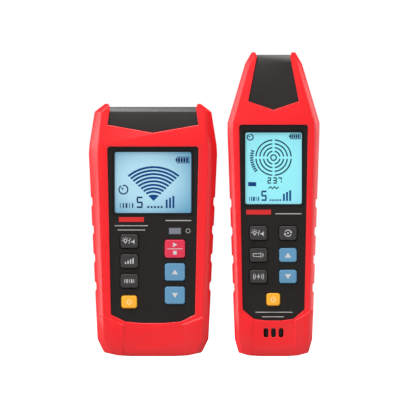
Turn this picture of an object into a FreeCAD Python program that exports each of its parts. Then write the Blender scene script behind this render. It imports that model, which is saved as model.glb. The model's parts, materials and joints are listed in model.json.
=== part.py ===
import FreeCAD, Part
import os
import re
import Sketcher

# Circuit breaker finder: a transmitter and a receiver standing side by side.
# Millimetres.  Z runs up the instruments and the keypads look toward -Y.
# Depths are "reach" values: positive toward the keypad side, negative toward the back.

document = FreeCAD.newDocument("BreakerFinder")
sheet = document.addObject("Spreadsheet::Sheet", "Dimensions")

SHARED = {
    "side_rubber": 2.0, "face_rubber": 1.0, "wall": 2.0, "bevel_run": 1.2,
    "shell_base_z": 3.2, "tongue_depth": 4.0, "tongue_gap": 0.15, "tongue_wall": 1.5,
    "shell_face": 16.0, "shell_inside": 14.0, "everywhere": 60.0,
    "pad_rise": 0.6, "notch_depth": 0.85, "notch_half": 3.2, "notch_pitch": 18.0,
    "lens_border": 1.4, "lens_front": 15.6, "lens_back": 14.6, "lens_gap": 0.15,
    "lcd_border": 1.2, "lcd_front": 13.9, "lcd_back": 12.45,
    "backlight_front": 12.4, "backlight_back": 11.45, "backlight_inset": 0.8,
    "board_front": 11.4, "board_back": 9.8, "chip_back": 8.4,
    "post_radius": 1.5, "stake_radius": 0.7, "stake_hole_radius": 0.8, "stake_back": 9.4,
    "mat_front": 12.1, "key_front": 17.2, "key_flange_front": 13.9, "key_flange_back": 13.2,
    "key_flange_border": 1.0, "key_gap": 0.6, "key_corner": 1.6, "key_softening": 0.5,
    "boss_pilot_radius": 1.1, "screw_shank_radius": 1.05, "screw_clearance_radius": 1.4,
    "screw_head_radius": 1.9, "screw_seat": -5.0, "screw_head_back": -6.8,
    "screw_tip": 7.0, "screw_slot_half": 1.2, "screw_slot_width": 0.3, "boss_tip": 0.0,
    "battery_half": 13.25, "battery_low_z": 21.0, "battery_shoulder_z": 67.0,
    "battery_top_z": 69.5, "battery_front": 3.9, "battery_back": -13.6, "battery_corner": 2.0,
    "terminal_x": 6.35, "small_terminal_radius": 2.85, "large_terminal_radius": 4.0,
    "large_terminal_bore": 2.7, "battery_middle": -4.85, "snap_ring_bore": 2.95,
    "snap_ring_radius": 3.9, "snap_stud_radius": 2.5, "snap_low_z": 67.4,
    "snap_plate_low_z": 69.6, "snap_plate_top_z": 71.0,
    "bay_half": 13.6, "bay_low_z": 20.7, "bay_top_z": 71.2, "bay_front": 4.1,
    "bay_wall": 1.0, "bay_foot": 4.2,
    "door_half": 14.6, "door_low_z": 15.0, "door_top_z": 82.0, "door_gap": 0.25,
    "door_back": -16.0, "door_inside": -14.1, "door_corner": 2.0,
    "door_seat": 1.2, "door_seat_front": 12.4,
    "peg_x": 9.0, "peg_z": 18.2, "peg_radius": 1.2, "peg_hole_radius": 1.3, "peg_front": -11.5,
    "insert_z": 77.0, "insert_radius": 2.2, "insert_back": -13.9, "insert_front": -7.9,
    "insert_bore": 1.55, "insert_boss_radius": 3.6, "insert_boss_front": -5.0,
    "door_screw_radius": 1.5, "door_screw_tip": -9.0, "door_screw_head_radius": 2.8,
    "door_screw_head_back": -15.8, "door_screw_seat": -14.9, "door_screw_hole": 1.7,
    "door_screw_recess": 3.1,
}

TRANSMITTER = {
    "centre_x": -32.7,
    "split_z": 138.0, "top_z": 159.3, "top_half": 29.8, "top_bevel": 3.1, "top_bevel_run": 3.0,
    "base_flat_half": 14.0, "base_bend_half": 22.8, "base_bend_z": 0.6,
    "base_corner_half": 30.5, "base_corner_z": 2.2,
    "face_top_z": 133.8, "face_top_half": 29.2, "face_low_z": 26.6, "face_low_half": 26.8,
    "face_foot_z": 22.1, "face_foot_half": 17.6, "face_dip_z": 21.2, "face_dip_half": 7.0,
    "vee_tip_z": 142.7, "vee_side_z": 147.8, "vee_side_half": 29.0,
    "horn_foot_z": 158.5, "horn_foot_half": 27.4, "horn_tip_half": 28.6, "window_corner": 1.8,
    "back_top_z": 131.0, "back_top_half": 31.5, "back_low_z": 9.0, "back_low_half": 27.0,
    "back_corner": 4.0,
    "notch_low_z": 44.5, "pad_inner_half": 18.9, "pad_inner_z": 20.0, "pad_outer_half": 36.2,
    "pad_outer_z": 26.5,
    "lcd_half": 24.4, "lcd_low_z": 91.5, "lcd_top_z": 130.4, "lcd_corner": 1.2,
    "board_half": 25.6, "board_low_z": 26.0, "board_top_z": 134.0, "post_x": 23.8,
    "post_low_z": 29.0, "post_high_z": 86.0,
    "mat_half": 21.8, "mat_low_z": 29.0, "mat_top_z": 84.0,
    "screw_high_x": 28.6, "screw_high_z": 126.0, "screw_low_x": 24.0, "screw_low_z": 19.0,
    "boss_radius": 2.6, "counterbore": 2.1,
    "buzzer_x": -15.0, "buzzer_z": 102.0, "buzzer_radius": 6.0, "buzzer_front": 9.7,
    "buzzer_back": 6.7, "chip_x": 10.0, "chip_z": 98.0, "chip_half": 6.0,
}

RECEIVER = {
    "centre_x": 44.3,
    "split_z": 153.0, "top_z": 192.6, "top_half": 12.4, "top_bevel": 4.5, "top_bevel_run": 2.7,
    "base_flat_half": 9.0, "base_bend_half": 16.0, "base_bend_z": 0.6,
    "base_corner_half": 22.0, "base_corner_z": 2.2,
    "face_top_z": 147.8, "face_top_half": 22.0, "face_low_z": 29.9, "face_low_half": 19.8,
    "face_foot_z": 23.8, "face_foot_half": 12.6, "face_dip_z": 22.8, "face_dip_half": 5.0,
    "vee_tip_z": 157.3, "vee_side_z": 162.8, "vee_side_half": 16.2,
    "horn_foot_z": 191.5, "horn_foot_half": 10.6, "horn_tip_half": 11.8, "window_corner": 1.8,
    "back_top_z": 150.5, "back_top_half": 23.0, "back_low_z": 5.8, "back_low_half": 17.8,
    "back_corner": 3.0,
    "notch_low_z": 43.5, "pad_inner_half": 13.8, "pad_inner_z": 22.9, "pad_outer_half": 25.4,
    "pad_outer_z": 29.6,
    "lcd_half": 18.0, "lcd_low_z": 97.2, "lcd_top_z": 142.8, "lcd_corner": 1.2,
    "board_half": 18.9, "board_low_z": 26.0, "board_top_z": 143.6, "post_x": 17.0,
    "post_low_z": 30.0, "post_high_z": 90.5,
    "mat_half": 16.2, "mat_low_z": 32.0, "mat_top_z": 84.5,
    "screw_high_x": 17.5, "screw_high_z": 146.3, "screw_low_x": 13.5, "screw_low_z": 9.5,
    "boss_radius": 2.3, "counterbore": 2.0,
    "buzzer_x": 0.0, "buzzer_z": 15.0, "buzzer_radius": 5.6, "buzzer_front": 13.9,
    "buzzer_back": 10.9, "chip_x": 6.0, "chip_z": 100.0, "chip_half": 5.0,
    "slot_pitch": 4.8, "slot_half": 1.52, "slot_height": 2.95,
    "torch_radius": 3.2, "torch_flange_radius": 4.0, "torch_flange_low_z": 186.3,
    "torch_flange_top_z": 187.3, "torch_top_z": 192.4, "torch_bore": 3.3,
    "led_radius": 2.5, "led_base_z": 179.0, "led_top_z": 184.0, "led_rim_radius": 2.9,
    "sensor_reach": -2.0, "rod_radius": 4.0, "rod_low_z": 156.0, "rod_top_z": 178.5,
    "coil_radius": 5.4, "coil_bore": 4.08, "coil_low_z": 157.0, "coil_top_z": 177.5,
    "flange_half": 6.4, "flange_thickness": 1.5,
    "plate_half": 5.6, "plate_thickness": 0.4,
}

# Cross-sections of the housing from the foot to the tip: height, half width,
# reach to the keypad side, reach to the back, and depth of the bevelled edge.
TRANSMITTER_LEVELS = {
    "foot": (0.0, 29.3, 15.6, 15.6, 3.3),
    "toe": (4.0, 32.1, 17.0, 17.0, 3.4),
    "knee": (11.0, 35.45, 17.0, 17.0, 3.5),
    "crest": (129.0, 41.0, 17.0, 17.0, 4.9),
    "crease": (135.0, 40.65, 17.0, 17.0, 4.9),
    "brow": (156.2, 37.3, 13.5, 15.0, 3.6),
    "tip": (161.3, 30.7, 12.7, 14.5, 3.0),
}
RECEIVER_LEVELS = {
    "foot": (0.0, 21.4, 15.6, 15.6, 2.2),
    "toe": (4.0, 22.8, 17.0, 17.0, 2.3),
    "knee": (11.0, 24.75, 17.0, 17.0, 2.4),
    "crest": (143.0, 29.35, 17.0, 17.0, 3.0),
    "crease": (149.0, 29.4, 17.0, 17.0, 3.0),
    "brow": (187.0, 18.15, 11.5, 13.5, 2.6),
    "tip": (194.2, 13.9, 10.5, 12.5, 2.2),
}

# Keys: centre x, centre z, half width and half height of each cap.
TRANSMITTER_KEYS = {
    "light": (-15.1, 73.5, 5.6, 4.35),
    "level": (-15.1, 60.7, 5.6, 4.35),
    "code": (-15.1, 48.1, 5.6, 4.35),
    "power": (-15.2, 34.7, 4.9, 3.95),
    "start_stop": (14.0, 68.6, 6.45, 5.7),
    "up": (14.0, 53.8, 6.35, 5.5),
    "down": (14.0, 38.9, 6.35, 5.5),
}
RECEIVER_KEYS = {
    "light": (-9.6, 78.6, 5.55, 4.4),
    "mode": (9.2, 78.6, 5.5, 4.4),
    "torch": (-9.6, 64.6, 5.55, 4.3),
    "up": (9.2, 64.6, 5.5, 4.35),
    "sense": (-9.6, 50.9, 5.5, 4.2),
    "down": (9.2, 50.9, 5.5, 4.2),
    "power": (-0.2, 36.3, 4.25, 3.9),
}
INDICATOR = {
    "indicator_x": 14.0, "indicator_z": 80.0, "indicator_half": 3.8, "indicator_height": 1.95,
    "indicator_gap": 0.1, "indicator_border": 1.0, "indicator_led_half": 1.75,
    "indicator_led_height": 1.4, "indicator_led_front": 12.9,
}
SOCKETS = {
    "socket_x": 9.5, "collar_radius": 4.5, "collar_gap": 0.05, "collar_bore": 3.05,
    "collar_low_z": 144.0, "collar_rim_radius": 5.4, "collar_rim_z": 154.2,
    "contact_radius": 3.0, "contact_bore": 2.02, "contact_low_z": 140.0,
    "contact_floor_z": 141.5, "contact_top_z": 156.5,
}


def fill_sheet():
    """Write every driving dimension into the spreadsheet and give it a name."""
    entries = dict(SHARED)
    units = (("tx_", TRANSMITTER, TRANSMITTER_LEVELS, TRANSMITTER_KEYS),
             ("rx_", RECEIVER, RECEIVER_LEVELS, RECEIVER_KEYS))
    for prefix, dimensions, levels, keys in units:
        for name, value in dimensions.items():
            entries[prefix + name] = value
        for level, values in levels.items():
            for part, value in zip(("z", "half", "front", "rear", "bevel"), values):
                entries[f"{prefix}{level}_{part}"] = value
        for key, values in keys.items():
            for part, value in zip(("x", "z", "half", "height"), values):
                entries[f"{prefix}key_{key}_{part}"] = value
    for name, value in {**INDICATOR, **SOCKETS}.items():
        entries["tx_" + name] = value
    for row, (name, value) in enumerate(entries.items(), start=1):
        sheet.set(f"A{row}", name)
        sheet.set(f"B{row}", str(value))
        sheet.setAlias(f"B{row}", name)
    document.recompute()
    return set(entries)


ALIASES = fill_sheet()


def between(low, high, share):
    """Expression for the value part of the way from low to high."""
    return f"(({low}) + (({high}) - ({low})) * ({share}))"


class Drawing:
    """A sketch on one origin plane of a body, with every position driven by the sheet."""

    def __init__(self, piece, plane, offset):
        self.piece = piece
        self.sketch = piece.body.newObject("Sketcher::SketchObject", "Sketch")
        origin = piece.body.Origin.OriginFeatures
        support = next(item for item in origin if item.Role == plane + "_Plane")
        self.sketch.AttachmentSupport = (support, "")
        self.sketch.MapMode = "FlatFace"
        self.sketch.setExpression(".AttachmentOffset.Base.z", piece.say(offset))

    def value(self, text):
        return float(sheet.evalExpression(self.piece.say(text)))

    def fix(self, kind, value, *where):
        number = float(self.value(value))
        index = self.sketch.addConstraint(Sketcher.Constraint(kind, *where, number))
        self.sketch.setExpression(f"Constraints[{index}]", self.piece.say(value))

    def polygon(self, corners):
        """Closed outline of straight lines through the given corners."""
        points = [FreeCAD.Vector(self.value(x), self.value(z), 0) for x, z in corners]
        edges = [self.sketch.addGeometry(Part.LineSegment(start, end))
                 for start, end in zip(points, points[1:] + points[:1])]
        for index, (x, z) in enumerate(corners):
            following = (index + 1) % len(edges)
            self.sketch.addConstraint(
                Sketcher.Constraint("Coincident", edges[index], 2, edges[following], 1))
            self.fix("DistanceX", x, -1, 1, edges[index], 1)
            self.fix("DistanceY", z, -1, 1, edges[index], 1)
        return self

    def circle(self, x, z, radius):
        centre = FreeCAD.Vector(self.value(x), self.value(z), 0)
        edge = self.sketch.addGeometry(
            Part.Circle(centre, FreeCAD.Vector(0, 0, 1), self.value(radius)))
        self.fix("DistanceX", x, -1, 1, edge, 3)
        self.fix("DistanceY", z, -1, 1, edge, 3)
        self.fix("Radius", radius, edge)
        return self

    def rectangle(self, x, z, half_width, half_height):
        left, right = f"({x}) - ({half_width})", f"({x}) + ({half_width})"
        low, high = f"({z}) - ({half_height})", f"({z}) + ({half_height})"
        return self.polygon([(left, low), (right, low), (right, high), (left, high)])

    def rounded(self, x, z, half_width, half_height, radius):
        """Rectangle whose corners are arcs tangent to its sides."""
        middle_x, middle_z = self.value(x), self.value(z)
        wide, tall = self.value(half_width), self.value(half_height)
        bend = self.value(radius)
        lines, arcs = [], []
        for turn in range(4):
            along = FreeCAD.Rotation(FreeCAD.Vector(0, 0, 1), 90 * turn)
            run, rise = (wide, tall) if turn % 2 == 0 else (tall, wide)
            spin = [FreeCAD.Vector(-run + bend, -rise, 0), FreeCAD.Vector(run - bend, -rise, 0),
                    FreeCAD.Vector(run - bend * (1 - 0.5 ** 0.5), -rise + bend * (1 - 0.5 ** 0.5), 0),
                    FreeCAD.Vector(run, -rise + bend, 0)]
            placed = [along.multVec(p) + FreeCAD.Vector(middle_x, middle_z, 0) for p in spin]
            lines.append(self.sketch.addGeometry(Part.LineSegment(placed[0], placed[1])))
            arcs.append(self.sketch.addGeometry(Part.Arc(placed[1], placed[2], placed[3])))
        for turn in range(4):
            direction = "Horizontal" if turn % 2 == 0 else "Vertical"
            self.sketch.addConstraint(Sketcher.Constraint(direction, lines[turn]))
            self.sketch.addConstraint(
                Sketcher.Constraint("Tangent", lines[turn], 2, arcs[turn], 1))
            self.sketch.addConstraint(
                Sketcher.Constraint("Tangent", arcs[turn], 2, lines[(turn + 1) % 4], 1))
        for arc in arcs[1:]:
            self.sketch.addConstraint(Sketcher.Constraint("Equal", arcs[0], arc))
        self.fix("Radius", radius, arcs[0])
        self.fix("DistanceY", f"({z}) - ({half_height})", -1, 1, lines[0], 1)
        self.fix("DistanceX", f"({x}) + ({half_width})", -1, 1, lines[1], 1)
        self.fix("DistanceY", f"({z}) + ({half_height})", -1, 1, lines[2], 1)
        self.fix("DistanceX", f"({x}) - ({half_width})", -1, 1, lines[3], 1)
        return self


class Piece:
    """One physical piece: a body placed at the middle of its own instrument."""

    def __init__(self, unit, label):
        self.unit = unit
        self.body = document.addObject("PartDesign::Body", f"{unit.name}_{label}")
        self.body.Label = f"{unit.name}_{label}"
        self.body.setExpression(".Placement.Base.x", self.say("$centre_x"))
        PIECES.append(self.body)

    def say(self, text):
        """Turn short names into references to the sheet; $ stands for this instrument."""
        text = text.replace("$", self.unit.prefix)
        return re.sub(r"[a-z]\w*", self.reference, text)

    @staticmethod
    def reference(match):
        name = match.group()
        return "Dimensions." + name if name in ALIASES else name

    def draw(self, offset, plane="XZ"):
        return Drawing(self, plane, offset)

    def extrude(self, kind, drawing, length):
        feature = self.body.newObject("PartDesign::" + kind, kind)
        feature.Profile = drawing.sketch
        feature.setExpression("Length", self.say(length))
        drawing.sketch.Visibility = False
        return feature

    def add(self, near, far, outline, plane="XZ"):
        """Material between two offsets; outline receives the sketch to draw in."""
        drawing = self.draw(near, plane)
        outline(drawing)
        return self.extrude("Pad", drawing, f"({far}) - ({near})")

    def cut(self, near, far, outline, plane="XZ"):
        """Remove material between two offsets."""
        drawing = self.draw(far, plane)
        outline(drawing)
        return self.extrude("Pocket", drawing, f"({far}) - ({near})")

    def cut_through(self, outline, plane="XZ"):
        return self.cut("-everywhere", "everywhere", outline, plane)

    def loft(self, kind, sections):
        """Straight-sided loft through horizontal sections: (height, corners) pairs."""
        drawings = [self.draw(height, "XY").polygon(corners) for height, corners in sections]
        feature = self.body.newObject(f"PartDesign::{kind}Loft", "Loft")
        feature.Profile = drawings[0].sketch
        feature.Sections = [drawing.sketch for drawing in drawings[1:]]
        feature.Ruled = True
        return feature

    def round_face(self, radius, reach):
        """Round every edge of the flat face that lies at one reach."""
        document.recompute()
        depth = -float(sheet.evalExpression(self.say(reach)))
        shape = self.body.Tip.Shape
        names = []
        for index, face in enumerate(shape.Faces, start=1):
            box = face.BoundBox
            if abs(box.YMin - depth) < 0.001 and abs(box.YMax - depth) < 0.001:
                names.append(f"Face{index}")
        base = self.body.Tip
        feature = self.body.newObject("PartDesign::Fillet", "Fillet")
        feature.Base = (base, names)
        feature.setExpression("Radius", self.say(radius))

    def round_corners(self, radius, corners):
        """Round the front-to-back edges that stand on the given corners."""
        document.recompute()
        places = [(float(sheet.evalExpression(self.say(c[0]))),
                   float(sheet.evalExpression(self.say(c[1])))) for c in corners]
        shape = self.body.Tip.Shape
        names = []
        for index, edge in enumerate(shape.Edges, start=1):
            ends = [vertex.Point for vertex in edge.Vertexes]
            if len(ends) != 2 or (ends[0] - ends[1]).Length - abs(ends[0].y - ends[1].y) > 0.001:
                continue
            if any(abs(ends[0].x - x) + abs(ends[0].z - z) < 0.01 for x, z in places):
                names.append(f"Edge{index}")
        base = self.body.Tip
        feature = self.body.newObject("PartDesign::Fillet", "Fillet")
        feature.Base = (base, names)
        feature.setExpression("Radius", self.say(radius))


PIECES = []


def mirrored(corners):
    """A right-hand chain of corners followed by its reflection in the middle plane."""
    return list(corners) + [(f"-({x})", z) for x, z in reversed(corners)]


def half_section(unit, level, side, side_gap="0", face_gap="0", z=None):
    """Corners of one half of the housing at one level; side is 1 front or -1 rear."""
    half, reach, bevel = unit.level(level, side)
    half = f"{half} - ({side_gap})"
    reach = f"{reach} - ({face_gap})"
    sign = "-" if side > 0 else ""
    corners = [(half, "0"),
               (half, f"{sign}({reach} - {bevel})"),
               (f"{half} - {bevel} * bevel_run", f"{sign}({reach})")]
    return (z or unit.height(level), mirrored(corners))


def full_section(unit, level, side_gap, face_gap, z=None):
    """Corners of the whole housing at one level, front and rear together."""
    height, front = half_section(unit, level, 1, side_gap, face_gap, z)
    rear = half_section(unit, level, -1, side_gap, face_gap, z)[1]
    return (height, front[1:5] + list(reversed(rear[1:5])))


class Instrument:
    """Names and shared outlines of one of the two instruments."""

    def __init__(self, name, prefix, keys):
        self.name = name
        self.prefix = prefix
        self.keys = keys

    def share(self):
        """How far the case split lies between the crease and the brow."""
        return "($split_z - $crease_z) / ($brow_z - $crease_z)"

    def height(self, level):
        return "$pad_outer_z" if level == "pad" else f"${level}_z"

    def level(self, level, side):
        """Half width, reach and bevel depth of the housing at a named level."""
        reach = "front" if side > 0 else "rear"
        if level == "split":
            return tuple(between(f"$crease_{part}", f"$brow_{part}", self.share())
                         for part in ("half", reach, "bevel"))
        if level == "pad":
            share = "($pad_outer_z - $knee_z) / ($crest_z - $knee_z)"
            return tuple(between(f"$knee_{part}", f"$crest_{part}", share)
                         for part in ("half", reach, "bevel"))
        if level == "top":
            return ("$top_half + side_rubber", f"$tip_{reach}", "$tip_bevel")
        return (f"${level}_half", f"${level}_{reach}", f"${level}_bevel")

    def edge_at(self, z):
        """Half width of the straight flank at height z."""
        return between("$knee_half", "$crest_half", f"(({z}) - $knee_z) / ($crest_z - $knee_z)")


def overmould(unit, label, side):
    """Red rubber skin of the front (side 1) or rear (side -1) half."""
    piece = Piece(unit, label)
    piece.loft("Additive", [half_section(unit, level, side, face_gap="-pad_rise")
                            for level in ("foot", "toe", "knee", "pad")])
    above = [("$pad_inner_half", "-5"), ("$pad_inner_half", "$pad_inner_z"),
             ("$pad_outer_half", "$pad_outer_z"), ("$pad_outer_half + 5", "$pad_outer_z")]
    piece.cut_through(lambda d: d.polygon(mirrored(above)))
    outer = ("foot", "toe", "knee", "crest", "crease", "brow", "tip")
    piece.loft("Additive", [half_section(unit, level, side) for level in outer])
    rubber = ("side_rubber", "face_rubber")
    base = half_section(unit, "toe", side, *rubber, z="shell_base_z")
    inner = ("knee", "crest", "crease", "brow", "top")
    piece.loft("Subtractive", [base] + [half_section(unit, level, side, *rubber) for level in inner])
    beyond = "$base_corner_half + 30"
    for flank in ("", "-"):
        corners = [("$base_flat_half", "0"), ("$base_flat_half", "-5"), (beyond, "-5"),
                   (beyond, "$base_corner_z"), ("$base_corner_half", "$base_corner_z"),
                   ("$base_bend_half", "$base_bend_z")]
        piece.cut_through(lambda d: d.polygon([(f"{flank}({x})", z) for x, z in corners]))
    window = [("$vee_side_half", "$vee_side_z"), ("$horn_foot_half", "$horn_foot_z"),
              ("$horn_tip_half", "$tip_z + 0.5")]
    piece.cut_through(lambda d: d.polygon([("0", "$vee_tip_z")] + mirrored(window)))
    notches(piece, unit)
    return piece


def notches(piece, unit):
    """Four shallow grip notches down each flank."""
    for flank in ("", "-"):
        for step in range(4):
            middle = f"$notch_low_z + notch_pitch * {step}"
            low, high = f"{middle} - notch_half", f"{middle} + notch_half"
            floor_low, floor_high = f"{middle} - notch_half * 0.5", f"{middle} + notch_half * 0.8"
            corners = [(unit.edge_at(low), low), (f"{unit.edge_at(low)} + 3", low),
                       (f"{unit.edge_at(high)} + 3", high), (unit.edge_at(high), high),
                       (f"{unit.edge_at(floor_high)} - notch_depth", floor_high),
                       (f"{unit.edge_at(floor_low)} - notch_depth", floor_low)]
            piece.cut_through(lambda d: d.polygon([(f"{flank}({x})", z) for x, z in corners]))


def front_overmould(unit):
    """Front skin with the window round the keypad face."""
    piece = overmould(unit, "front_overmould", 1)
    upper = [("$face_dip_half", "$face_dip_z"), ("$face_foot_half", "$face_foot_z"),
             ("$face_low_half", "$face_low_z"), ("$face_top_half", "$face_top_z")]
    piece.cut("0", "everywhere", lambda d: d.polygon(mirrored(upper)))
    piece.round_corners("$window_corner", [
        ("$face_top_half", "$face_top_z"), ("-$face_top_half", "$face_top_z")])
    if unit.prefix == "rx_":
        piece.cut("0", "everywhere", lambda d: sound_slots(d))


def sound_slots(drawing):
    """Three upright slots in front of the buzzer."""
    for step in (-1, 0, 1):
        drawing.rounded(f"$slot_pitch * {step}", "$buzzer_z", "$slot_half", "$slot_height",
                        "$slot_half - 0.02")


def rear_overmould(unit):
    """Rear skin with one large window over the back panel."""
    piece = overmould(unit, "rear_overmould", -1)
    chain = [("$back_low_half", "$back_low_z"), ("$back_top_half", "$back_top_z")]
    piece.cut("-everywhere", "0", lambda d: d.polygon(mirrored(chain)))
    piece.round_corners("$back_corner", chain + [(f"-{x}", z) for x, z in chain])


def case_screw_places():
    return [(f"{flank}$screw_{row}_x", f"$screw_{row}_z")
            for flank in ("", "-") for row in ("low", "high")]


def post_places():
    return [(f"{flank}$post_x", f"$post_{row}_z") for flank in ("", "-") for row in ("low", "high")]


def circles(places, radius):
    """Outline function that draws the same circle at several places."""
    def outline(drawing):
        for x, z in places:
            drawing.circle(x, z, radius)
    return outline


def shell(unit, label, side):
    """Hard black shell of one half: outer surface under the rubber, hollow inside."""
    piece = Piece(unit, label)
    levels = ("knee", "crest", "crease", "split")
    rubber = ("side_rubber", "face_rubber")
    base = half_section(unit, "toe", side, *rubber, z="shell_base_z")
    piece.loft("Additive", [base] + [half_section(unit, level, side, *rubber) for level in levels])
    inside = ("side_rubber + wall", "face_rubber + wall")
    base = half_section(unit, "toe", side, *inside, z="shell_base_z + wall")
    piece.loft("Subtractive", [base] + [half_section(unit, level, side, *inside) for level in levels])
    return piece


def front_shell(unit):
    piece = shell(unit, "front_shell", 1)
    piece.add("boss_tip", "shell_inside + 0.5", circles(case_screw_places(), "$boss_radius"))
    piece.cut("boss_tip", "boss_tip + 9", circles(case_screw_places(), "boss_pilot_radius"))
    piece.add("board_front", "shell_inside + 0.5", circles(post_places(), "post_radius"))
    piece.add("stake_back", "board_front", circles(post_places(), "stake_radius"))
    lens = ("0", "($lcd_low_z + $lcd_top_z) / 2")
    tall = "($lcd_top_z - $lcd_low_z) / 2"
    piece.cut("0", "everywhere", lambda d: d.rounded(*lens, "$lcd_half", tall, "$lcd_corner"))
    piece.cut("lens_back", "everywhere", lambda d: d.rounded(
        *lens, "$lcd_half + lens_border + lens_gap", f"{tall} + lens_border + lens_gap",
        "$lcd_corner + lens_gap"))
    for key in unit.keys:
        piece.cut("0", "everywhere", lambda d: key_outline(d, key, "key_gap"))
    if unit.prefix == "rx_":
        piece.cut("0", "everywhere", lambda d: sound_slots(d))
    else:
        piece.cut("0", "everywhere", lambda d: d.rectangle(
            "$indicator_x", "$indicator_z", "$indicator_half + $indicator_gap",
            "$indicator_height + $indicator_gap"))


def key_outline(drawing, key, border):
    name = f"$key_{key}"
    drawing.rounded(f"{name}_x", f"{name}_z", f"{name}_half + {border}",
                    f"{name}_height + {border}", f"key_corner + {border}")


def bay(drawing, border, foot):
    """Battery bay outline; the foot below the bay carries the peg sockets."""
    drawing.polygon(mirrored([(f"bay_half + {border}", f"bay_low_z - {foot}"),
                              (f"bay_half + {border}", f"bay_top_z + {border}")]))


def rear_shell(unit):
    """Rear shell with the battery bay, the door seat and the screw columns."""
    piece = shell(unit, "rear_shell", -1)
    middle = "(door_low_z + door_top_z) / 2"
    tall = "(door_top_z - door_low_z) / 2"
    piece.add("-shell_inside - 0.5", "-door_seat_front", lambda d: d.rounded(
        "0", middle, "door_half + door_seat", f"{tall} + door_seat", "door_corner"))
    piece.add("-shell_inside - 0.5", "bay_front + bay_wall",
              lambda d: bay(d, "bay_wall", "bay_foot"))
    piece.add("-shell_inside - 0.5", "insert_boss_front",
              circles([("0", "insert_z")], "insert_boss_radius"))
    piece.add("-shell_inside - 0.5", "boss_tip - 0.02", circles(case_screw_places(), "$boss_radius"))
    piece.cut("-everywhere", "bay_front", lambda d: bay(d, "0", "0"))
    piece.cut("-everywhere", "-shell_inside", lambda d: d.rounded(
        "0", middle, "door_half + door_gap", f"{tall} + door_gap", "door_corner + door_gap"))
    piece.cut("-everywhere", "peg_front + 0.5",
              circles([("peg_x", "peg_z"), ("-peg_x", "peg_z")], "peg_hole_radius"))
    piece.cut("-everywhere", "insert_front", circles([("0", "insert_z")], "insert_radius"))
    piece.cut("-everywhere", "everywhere", circles(case_screw_places(), "screw_clearance_radius"))
    piece.cut("-everywhere", "screw_seat", circles(case_screw_places(), "$counterbore"))


def head_cap(unit):
    """Black nose piece plugged into the top of both shells."""
    piece = Piece(unit, "head_cap")
    skin = ("side_rubber", "face_rubber")
    piece.loft("Additive", [full_section(unit, level, *skin) for level in ("split", "brow", "top")])
    plug = ("side_rubber + wall + tongue_gap", "face_rubber + wall + tongue_gap")
    levels = ("crest", "crease", "split", "brow")
    piece.loft("Additive", [full_section(unit, level, *plug) for level in levels])
    piece.cut("-everywhere", "everywhere", lambda d: d.polygon(
        mirrored([("everywhere", "0"), ("everywhere", "$split_z - tongue_depth")])))
    bore = tuple(f"{gap} + tongue_wall" for gap in plug)
    piece.loft("Subtractive", [full_section(unit, level, *bore) for level in levels[:3]]
               + [full_section(unit, "split", *bore, z="$split_z + wall + 0.1")])
    inside = ("side_rubber + wall", "face_rubber + wall")
    piece.loft("Subtractive", [full_section(unit, "split", *inside, z="$split_z + wall"),
                               full_section(unit, "brow", *inside),
                               full_section(unit, "top", *inside, z="$top_z - wall")])
    for sign, reach in (("-", "$brow_front - face_rubber"), ("", "$brow_rear - face_rubber")):
        slope = "$top_bevel / $top_bevel_run"
        corners = [(f"{sign}({reach} + 3)", f"$top_z - $top_bevel - 3 * {slope}"),
                   (f"{sign}({reach} + 3)", f"$top_z + {slope}"),
                   (f"{sign}({reach} - $top_bevel_run - 1)", f"$top_z + {slope}")]
        piece.cut_through(lambda d: d.polygon(corners), "YZ")
    return piece


def transmitter_head_cap(unit):
    piece = head_cap(unit)
    places = [("$socket_x", "0"), ("-$socket_x", "0")]
    piece.cut("$collar_low_z", "$top_z + 5", circles(places, "$collar_radius + $collar_gap"), "XY")


def receiver_head_cap(unit):
    piece = head_cap(unit)
    piece.cut("$torch_flange_low_z", "$top_z + 5", circles([("0", "0")], "$torch_bore"), "XY")


def display(unit):
    """Window lens, LCD glass and backlight block, stacked behind the face."""
    middle = ("0", "($lcd_low_z + $lcd_top_z) / 2")
    tall = "($lcd_top_z - $lcd_low_z) / 2"
    lens = Piece(unit, "display_lens")
    lens.add("lens_back", "lens_front", lambda d: d.rounded(
        *middle, "$lcd_half + lens_border", f"{tall} + lens_border", "$lcd_corner"))
    glass = Piece(unit, "lcd_glass")
    glass.add("lcd_back", "lcd_front", lambda d: d.rectangle(
        *middle, "$lcd_half + lcd_border", f"{tall} + lcd_border"))
    light = Piece(unit, "lcd_backlight")
    light.add("backlight_back", "backlight_front", lambda d: d.rectangle(
        *middle, "$lcd_half + lcd_border - backlight_inset", f"{tall} + lcd_border - backlight_inset"))


def electronics(unit):
    """Circuit board with its main chip, keypad mat, and buzzer."""
    board = Piece(unit, "circuit_board")
    middle = "($board_low_z + $board_top_z) / 2"
    board.add("board_back", "board_front", lambda d: d.rectangle(
        "0", middle, "$board_half", "($board_top_z - $board_low_z) / 2"))
    board.add("chip_back", "board_back + 0.1", lambda d: d.rectangle(
        "$chip_x", "$chip_z", "$chip_half", "$chip_half"))
    board.cut_through(circles(post_places(), "stake_hole_radius"))
    mat = Piece(unit, "keypad_mat")
    middle = "($mat_low_z + $mat_top_z) / 2"
    mat.add("board_front", "mat_front", lambda d: d.rounded(
        "0", middle, "$mat_half", "($mat_top_z - $mat_low_z) / 2", "2"))
    if unit.prefix == "tx_":
        mat.cut_through(lambda d: d.rectangle(
            "$indicator_x", "$indicator_z", "$indicator_led_half + 1", "$indicator_led_height + 1"))
    buzzer = Piece(unit, "buzzer")
    buzzer.add("$buzzer_back", "$buzzer_front",
               circles([("$buzzer_x", "$buzzer_z")], "$buzzer_radius"))


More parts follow.
